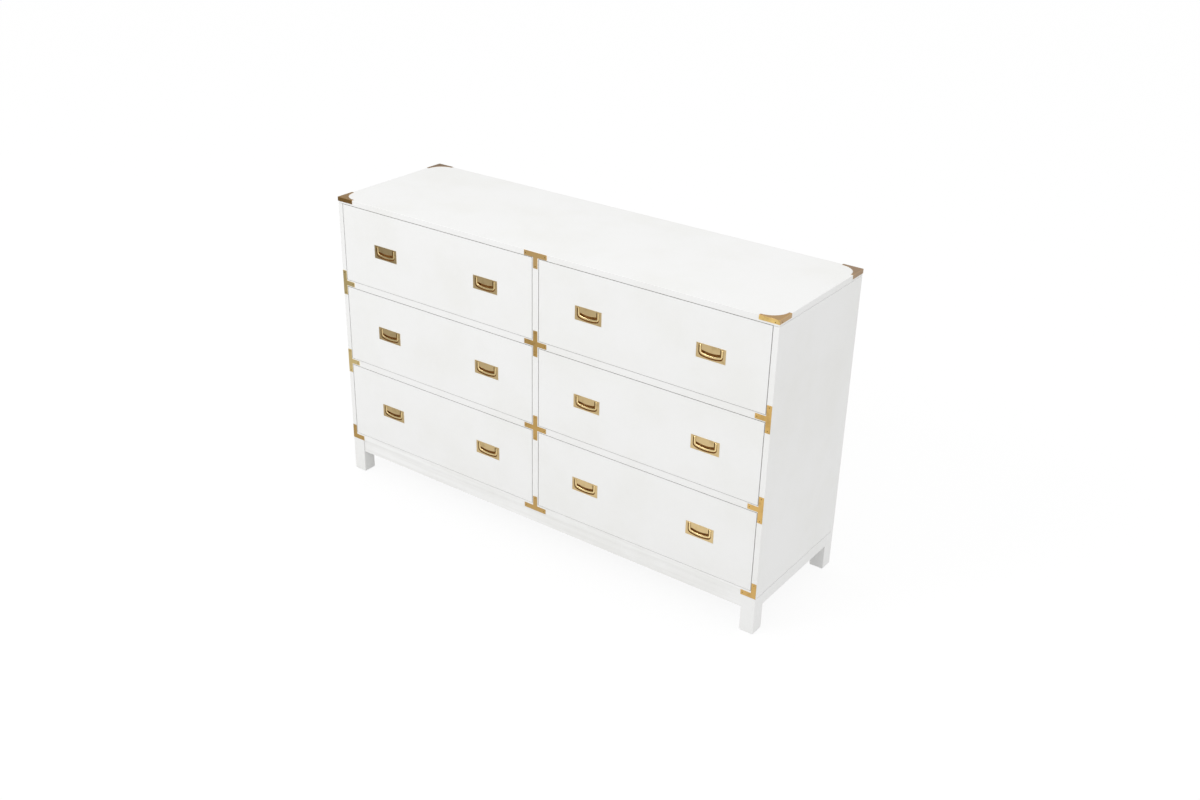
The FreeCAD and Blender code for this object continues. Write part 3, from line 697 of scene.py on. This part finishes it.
@dataclass(frozen=True)
class Heads:
    """Round heads of screws with a driver's cross, half sunk in a surface, set by a node tree.

    Attributes:
        name: what the piece is called.
        width: how wide each head is.
        height: how far it stands out of the surface.
        sides: how many sides its round edge has.
        notch_length: the length of the cross, in half widths.
        notch_width: the width of each notch, in half widths.
        notch_levels: the middle of each notch, in heights, unlike so that no floors coincide.
    """

    name: str
    width: float
    height: float
    sides: int = 20
    notch_length: float = 1.1
    notch_width: float = 0.22
    notch_levels: tuple[float, float] = (1.0, 0.95)

    def tree(self) -> bpy.types.GeometryNodeTree:
        """The node tree that sets one head on each point and turns it the way the point faces.

        Returns:
            A tree with inputs for the points, the head's width and height, and its finish.
        """
        tree = bpy.data.node_groups.new(f"{self.name}_tree", "GeometryNodeTree")
        for label, kind in (
            ("Points", "NodeSocketGeometry"),
            ("Head Width", "NodeSocketFloat"),
            ("Head Height", "NodeSocketFloat"),
            ("Finish", "NodeSocketMaterial"),
        ):
            tree.interface.new_socket(name=label, in_out="INPUT", socket_type=kind)
        tree.interface.new_socket(name="Heads", in_out="OUTPUT", socket_type="NodeSocketGeometry")
        graph = Graph(tree)
        given = graph.add("NodeGroupInput")
        width, height = graph.wire(given, "Head Width"), graph.wire(given, "Head Height")
        ball = graph.add(
            "GeometryNodeMeshUVSphere", None, {"Segments": self.sides, "Rings": self.sides // 2}
        )
        across = width * 0.5
        dome = graph.add(
            "GeometryNodeTransform",
            None,
            {"Geometry": graph.wire(ball), "Scale": graph.joined(across, across, height)},
        )
        head = self.cross_cut(graph, graph.wire(dome), across, height)
        facing = graph.add(
            "GeometryNodeInputNamedAttribute", {"data_type": "FLOAT_VECTOR"}, {"Name": FACING}
        )
        turn = graph.add(
            "FunctionNodeAlignRotationToVector", {"axis": "Z"}, {"Vector": graph.wire(facing)}
        )
        heads = graph.add(
            "GeometryNodeInstanceOnPoints",
            None,
            {
                "Points": graph.wire(given, "Points"),
                "Instance": head,
                "Rotation": graph.wire(turn),
            },
        )
        real = graph.add("GeometryNodeRealizeInstances", None, {0: graph.wire(heads)})
        smooth = graph.add("GeometryNodeSetShadeSmooth", None, {"Geometry": graph.wire(real)})
        finish = graph.add(
            "GeometryNodeSetMaterial",
            None,
            {"Geometry": graph.wire(smooth), "Material": graph.wire(given, "Finish")},
        )
        graph.add("NodeGroupOutput", None, {0: graph.wire(finish)})
        return tree

    def cross_cut(self, graph: Graph, head: Wire, across: Wire, height: Wire) -> Wire:
        """Sink a driver's cross into a head, as two crossed notches.

        Args:
            graph: the tree's graph.
            head: the plain head.
            across: half the head's width.
            height: the head's height.

        Returns:
            The head with its cross.
        """
        long, short = across * self.notch_length, across * self.notch_width
        for sizes, level in zip(((long, short), (short, long)), self.notch_levels):
            bar = graph.add("GeometryNodeMeshCube", None, {"Size": graph.joined(*sizes, height)})
            lifted = graph.add(
                "GeometryNodeTransform",
                None,
                {
                    "Geometry": graph.wire(bar),
                    "Translation": graph.joined(0.0, 0.0, height * level),
                },
            )
            cut = graph.add(
                "GeometryNodeMeshBoolean",
                {"operation": "DIFFERENCE"},
                {0: head, 1: graph.wire(lifted)},
            )
            head = graph.wire(cut)
        return head

    def mesh(self, places: Sequence[Place], finish: bpy.types.Material) -> bpy.types.Object:
        """Set the heads and turn the result into a plain mesh.

        Args:
            places: where each head sits, and the way it faces.
            finish: the heads' material.

        Returns:
            One object with all the heads.
        """
        points = bpy.data.meshes.new(f"{self.name}_points")
        points.from_pydata([place for place, _ in places], [], [])
        ways = points.attributes.new(FACING, "FLOAT_VECTOR", "POINT")
        ways.data.foreach_set("vector", [part for _, way in places for part in way.value])
        piece = bpy.data.objects.new(self.name, points)
        bpy.context.scene.collection.objects.link(piece)
        modifier = piece.modifiers.new("heads", "NODES")
        modifier.node_group = self.tree()
        values = {"Head Width": self.width, "Head Height": self.height, "Finish": finish}
        for item in modifier.node_group.interface.items_tree:
            if item.in_out == "INPUT" and item.name in values:
                modifier[item.identifier] = values[item.name]
        shaped = piece.evaluated_get(bpy.context.evaluated_depsgraph_get())
        solid = bpy.data.meshes.new_from_object(shaped)
        piece.modifiers.remove(modifier)
        piece.data = solid
        bpy.data.meshes.remove(points)
        return piece


def spread(start: float, end: float, steps: int) -> list[float]:
    """Places from a start to an end, at both of them and this many equal steps apart."""
    return [start + (end - start) * i / steps for i in range(steps + 1)]


@dataclass
class Case:
    """The painted boards, the base with its legs, the back and the fixed half of each slide."""

    shop: Workshop
    screw: Heads = Heads("back_screws", width=0.0075, height=0.0009)
    screw_inset: float = 0.013
    screw_pitch: float = 0.16
    painted: tuple[str, ...] = (
        "top_panel",
        "left_side_panel",
        "right_side_panel",
        "centre_partition",
        "legs",
        "left_apron",
        "right_apron",
    )
    brushed: tuple[str, ...] = ("bottom_panel", "front_apron", "back_apron")

    def dress(self, finishes: dict[str, bpy.types.Material]) -> None:
        """Put paint on the boards, and their own finishes on the back and the slides."""
        self.shop.dress(self.painted, finishes["painted"])
        self.shop.dress(self.brushed, finishes["brushed"])
        self.shop.dress(["drawer_rails"], finishes["rails"])
        self.shop.dress(["back_panel"], finishes["back"])
        self.shop.dress(["runner_channels"], finishes["channels"])

    def screw_places(self) -> list[Place]:
        """Where the screws of the back panel sit: in rows along its four edges and its middle.

        Returns:
            A place and a facing for each screw.
        """
        low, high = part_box("back_panel")
        left, right = low.x + self.screw_inset, high.x - self.screw_inset
        foot, top = low.z + self.screw_inset, high.z - self.screw_inset
        across = spread(left, right, round((right - left) / self.screw_pitch))
        levels = spread(foot, top, round((top - foot) / self.screw_pitch))[1:-1]
        middle = (left + right) / 2
        spots = [(x, z) for x in across for z in (foot, top)]
        spots += [(x, z) for z in levels for x in (left, middle, right)]
        return [(Vector((x, high.y, z)), Facing.BACK) for x, z in spots]

    def build(self, steel: bpy.types.Material) -> None:
        """Set the screws that hold the back panel."""
        self.shop.keep(self.screw.mesh(self.screw_places(), steel), CASE_BODY, STEEL_SLOT)


@dataclass
class Straps:
    """The brass straps on the front, the brackets on the top, and the pins that hold them."""

    shop: Workshop

    def dress(self, finishes: dict[str, bpy.types.Material]) -> None:
        """Put its own brass on each kind of piece."""
        for name, finish in finishes.items():
            self.shop.dress([name], finish)


@dataclass
class Drawer:
    """One drawer: its painted front, its wooden box, its slide runners and its two pulls."""

    shop: Workshop
    row: Row
    column: Side
    runner_sheet: float = 0.0015
    screw_width: float = 0.0065
    screw_height: float = 0.0012
    screw_inset: float = 0.03
    screws: int = 3
    name: str = field(init=False)

    def __post_init__(self) -> None:
        """Name the drawer by its row and column."""
        self.name = f"{self.row.value}_{self.column.value}"

    def dress(self, finishes: dict[str, bpy.types.Material]) -> None:
        """Put each finish on its pieces of the drawer."""
        for piece in ("drawer_front", "drawer_walls", "drawer_bottom", "runners", "pull_plates"):
            self.shop.dress([f"{self.name}_{piece}"], finishes[piece])
        self.shop.dress([f"{self.name}_{side.value}_bail" for side in Side], finishes["bail"])

    def screw_places(self) -> list[Place]:
        """Where the screws sit that hold the runners to the drawer's walls.

        Returns:
            A place and a facing for each screw.
        """
        low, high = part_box(f"{self.name}_runners")
        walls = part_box(f"{self.name}_drawer_walls")
        level = (low.z + high.z) / 2
        depths = spread(low.y + self.screw_inset, high.y - self.screw_inset, self.screws - 1)
        webs = (
            (walls[0].x - self.runner_sheet, Facing.LEFT),
            (walls[1].x + self.runner_sheet, Facing.RIGHT),
        )
        return [(Vector((x, y, level)), way) for x, way in webs for y in depths]

    def build(self, steel: bpy.types.Material) -> None:
        """Set the screws of the runners."""
        heads = Heads(f"{self.name}_runner_screws", self.screw_width, self.screw_height)
        self.shop.keep(heads.mesh(self.screw_places(), steel), f"{self.name}_drawer", STEEL_SLOT)


@dataclass(frozen=True)
class Finishes:
    """The materials of the chest, with tints set by the boxes of its pieces: painted shade in the
    gaps, painted shade and painted reflections on the brass, and patina with painted shade in the
    pulls' pockets.

    The top right drawer stands for all six, which are alike and at the same depth.
    """

    steel: bpy.types.Material
    # Painted shade in the gaps: darker paint just behind the drawer fronts and the rails.
    gap_shade_tone: Colour = (0.5, 0.49, 0.47)
    brushed_tone: Colour = (0.88, 0.88, 0.873)
    brushing: float = 0.6
    back_wall_depth: float = 0.0121
    plate_tone: Colour = (0.7, 0.53, 0.275)
    # Patina and painted shade in the pulls' pockets and the slots round the bails.
    hollow_patina_and_shade_tone: Colour = (0.6, 0.345, 0.1)
    bail_tone: Colour = (0.9, 0.7, 0.36)
    bail_roughness: float = 0.18
    strap_tone: Colour = (0.63, 0.4, 0.138)
    pin_tone: Colour = (0.3, 0.18, 0.06)
    tee_tone: Colour = (0.7, 0.45, 0.155)
    # Painted reflections: lighter brass on the left and top tees; painted shade: darker brass on
    # the bottom tees.
    left_tee_reflection_tone: Colour = (0.98, 0.76, 0.35)
    top_tee_reflection_tone: Colour = (0.86, 0.57, 0.24)
    bottom_tee_shade_tone: Colour = (0.555, 0.356, 0.128)
    bracket_tone: Colour = (0.97, 0.69, 0.26)
    # Painted shade: darker brass on the left and back brackets, on the right brackets' side ends
    # and on the bracket tops.
    left_bracket_shade_tone: Colour = (0.4, 0.19, 0.05)
    back_bracket_shade_tone: Colour = (0.34, 0.24, 0.18)
    bracket_end_shade_tone: Colour = (0.56, 0.38, 0.21)
    bracket_top_shade_tone: Colour = (0.68, 0.43, 0.19)

    def drawer(self) -> dict[str, bpy.types.Material]:
        """The finishes of a drawer, by kind of piece."""
        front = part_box("top_right_drawer_front")[0].y
        back_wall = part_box("top_right_drawer_walls")[1].y - self.back_wall_depth
        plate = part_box("top_right_pull_plates")[0].y
        # Painted shade in the gaps: the front's edges darken just behind its face, then fade back.
        edge = ShadeAndStain(
            self.gap_shade_tone, Axis.DEEP, start=front + 0.0006, end=front + 0.002, share=0.9, span=0.002
        )
        # Patina and painted shade: darker and duller deeper in the pull's pocket and slot.
        hollow = ShadeAndStain(
            self.hollow_patina_and_shade_tone,
            Axis.DEEP,
            start=plate + 0.0008,
            end=plate + 0.0035,
            share=0.9,
            dullness=0.4,
        )
        bail = SatinBrass("bail_brass", self.bail_tone, roughness=self.bail_roughness)
        return {
            "drawer_front": WhitePaint("front_paint", (edge,)).material(),
            "drawer_walls": PaleWood("wall_wood", Axis.DEEP, back_wall).material(),
            "drawer_bottom": PaleWood("bottom_wood", Axis.ACROSS).material(),
            "runners": self.steel,
            "pull_plates": SatinBrass("plate_brass", self.plate_tone, (hollow,)).material(),
            "bail": bail.material(),
        }

    def case(self) -> dict[str, bpy.types.Material]:
        """The finishes of the case, by kind of piece."""
        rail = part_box("drawer_rails")[0].y
        # Painted shade in the gaps: the rails darken just behind their front, then fade back.
        edge = ShadeAndStain(
            self.gap_shade_tone, Axis.DEEP, start=rail + 0.0003, end=rail + 0.001, share=0.9, span=0.002
        )
        brushed = WhitePaint("brushed_paint", brushing=self.brushing, tone=self.brushed_tone)
        return {
            "painted": WhitePaint().material(),
            "rails": WhitePaint("rail_paint", (edge,)).material(),
            "brushed": brushed.material(),
            "back": BackBoard().material(),
            "channels": self.steel,
        }

    def straps(self) -> dict[str, bpy.types.Material]:
        """The finishes of the straps, brackets and pins, by node."""
        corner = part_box("top_corner_brackets")[1]
        # Painted reflections and painted shade: lighter tees at the left and at the top, darker at
        # the bottom.
        tee_painted_reflections = (
            ShadeAndStain(self.left_tee_reflection_tone, Axis.ACROSS, start=-0.3, end=-0.7, share=1.0),
            ShadeAndStain(self.top_tee_reflection_tone, Axis.UP, start=0.85, end=0.9, share=1.0),
            ShadeAndStain(self.bottom_tee_shade_tone, Axis.UP, start=0.25, end=0.2, share=1.0),
        )
        # Painted shade: darker left brackets, side ends, tops and back brackets.
        bracket_painted_shade = (
            ShadeAndStain(self.left_bracket_shade_tone, Axis.ACROSS, start=-0.6, end=-0.7, share=0.78),
            ShadeAndStain(
                self.bracket_end_shade_tone,
                Axis.ACROSS,
                start=corner.x - 0.0009,
                end=corner.x - 0.0003,
                share=0.9,
            ),
            ShadeAndStain(
                self.bracket_top_shade_tone,
                Axis.UP,
                start=corner.z - 0.0009,
                end=corner.z - 0.0003,
                share=1.0,
            ),
            ShadeAndStain(self.back_bracket_shade_tone, Axis.DEEP, start=0.1, end=0.2, share=0.6),
        )
        strap = SatinBrass("strap_brass", self.strap_tone).material()
        bracket = SatinBrass("bracket_brass", self.bracket_tone, bracket_painted_shade)
        return {
            "tee_straps": SatinBrass("tee_brass", self.tee_tone, tee_painted_reflections).material(),
            "cross_straps": strap,
            "corner_straps": strap,
            "top_corner_brackets": bracket.material(),
            "strap_pins": SatinBrass("pin_brass", self.pin_tone).material(),
        }


@dataclass
class Studio:
    """A white floor and sky, two large soft lamps, and the camera."""

    floor_half: float = 14.0
    sky: float = 0.97
    sky_left: float = -1.1
    sky_right: float = 0.2
    sky_edge: float = 0.2
    key_power: float = 61.0
    key_place: Point = (-1.5, -3.8, 4.1)
    fill_power: float = 3.0
    fill_place: Point = (3.6, 0.2, 2.6)
    lamp_size: float = 1.6
    lamp_aim: Point = (0.0, 0.0, 0.45)
    eye: Point = (2.15715, -2.94418, 2.20660)
    look: Point = (-0.51876, 0.73073, -0.44376)
    roll: float = math.radians(1.40)
    lens: float = 40.305
    sensor: float = 36.0

    def floor(self) -> None:
        """Lay the floor at the level of the feet."""
        half = self.floor_half
        sheet = bpy.data.meshes.new("studio_floor")
        corners = [(-half, -half, 0.0), (half, -half, 0.0), (half, half, 0.0), (-half, half, 0.0)]
        sheet.from_pydata(corners, [], [(0, 1, 2, 3)])
        sheet.materials.append(StudioWhite().material())
        floor = bpy.data.objects.new("studio_floor", sheet)
        bpy.context.scene.collection.objects.link(floor)

    def sky_light(self) -> None:
        """Light the room evenly, white to the eye, and to metal a white that fades to the left."""
        world = bpy.data.worlds.new("studio_sky")
        world.use_nodes = True
        graph = Graph(world.node_tree)
        eye, shiny = seen_rays(graph)
        white = self.backdrop(graph, 1.0)
        across = graph.parts(graph.place())[Axis.ACROSS.value]
        near = across.ramp(self.sky_left, self.sky_right)
        mirrored = graph.mixed(near, self.backdrop(graph, self.sky_edge), white)
        lit = graph.mixed(shiny, self.backdrop(graph, self.sky), mirrored)
        graph.add("ShaderNodeOutputWorld", None, {"Surface": graph.mixed(eye, lit, white)})
        bpy.context.scene.world = world

    def backdrop(self, graph: Graph, strength: float) -> Wire:
        """A white background of this strength."""
        node = graph.add(
            "ShaderNodeBackground", None, {"Color": (*WHITE, 1.0), "Strength": strength}
        )
        return graph.wire(node)

    def lamp(self, name: str, place: Point, power: float) -> None:
        """Hang a large soft lamp that looks at the chest.

        Args:
            name: what it is called.
            place: where it hangs.
            power: its watts.
        """
        light = bpy.data.lights.new(name, "AREA")
        light.shape = "SQUARE"
        light.size = self.lamp_size
        light.energy = power
        lamp = bpy.data.objects.new(name, light)
        lamp.location = place
        way = Vector(self.lamp_aim) - Vector(place)
        lamp.rotation_euler = way.to_track_quat("-Z", "Y").to_euler()
        bpy.context.scene.collection.objects.link(lamp)

    def camera(self) -> None:
        """Stand the camera where the chest is seen from the front right, a little from above."""
        way = Vector(self.look).normalized()
        level = way.cross(Vector((0.0, 0.0, 1.0))).normalized()
        upward = level.cross(way)
        right = level * math.cos(self.roll) + upward * math.sin(self.roll)
        up = upward * math.cos(self.roll) - level * math.sin(self.roll)
        lens = bpy.data.cameras.new("view")
        lens.sensor_width = self.sensor
        lens.lens = self.lens
        camera = bpy.data.objects.new("view", lens)
        turn = Matrix((right, up, -way)).transposed().to_4x4()
        camera.matrix_world = Matrix.Translation(self.eye) @ turn
        bpy.context.scene.collection.objects.link(camera)
        bpy.context.scene.camera = camera

    def build(self) -> None:
        """Set up the floor, the light and the camera."""
        bpy.context.scene.view_settings.view_transform = "Standard"
        self.floor()
        self.sky_light()
        self.lamp("key", self.key_place, self.key_power)
        self.lamp("fill", self.fill_place, self.fill_power)
        self.camera()


def main() -> None:
    """Dress the chest piece by piece and set up the studio."""
    logging.basicConfig(level=logging.INFO, format="%(message)s")
    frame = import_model()
    shop = Workshop(frame)
    finishes = Finishes(ZincSteel().material())
    drawer_finishes = finishes.drawer()
    case = Case(shop)
    case.dress(finishes.case())
    case.build(finishes.steel)
    Straps(shop).dress(finishes.straps())
    for row in Row:
        for column in Side:
            drawer = Drawer(shop, row, column)
            drawer.dress(drawer_finishes)
            drawer.build(finishes.steel)
    Studio().build()


if __name__ == "__main__":
    main()
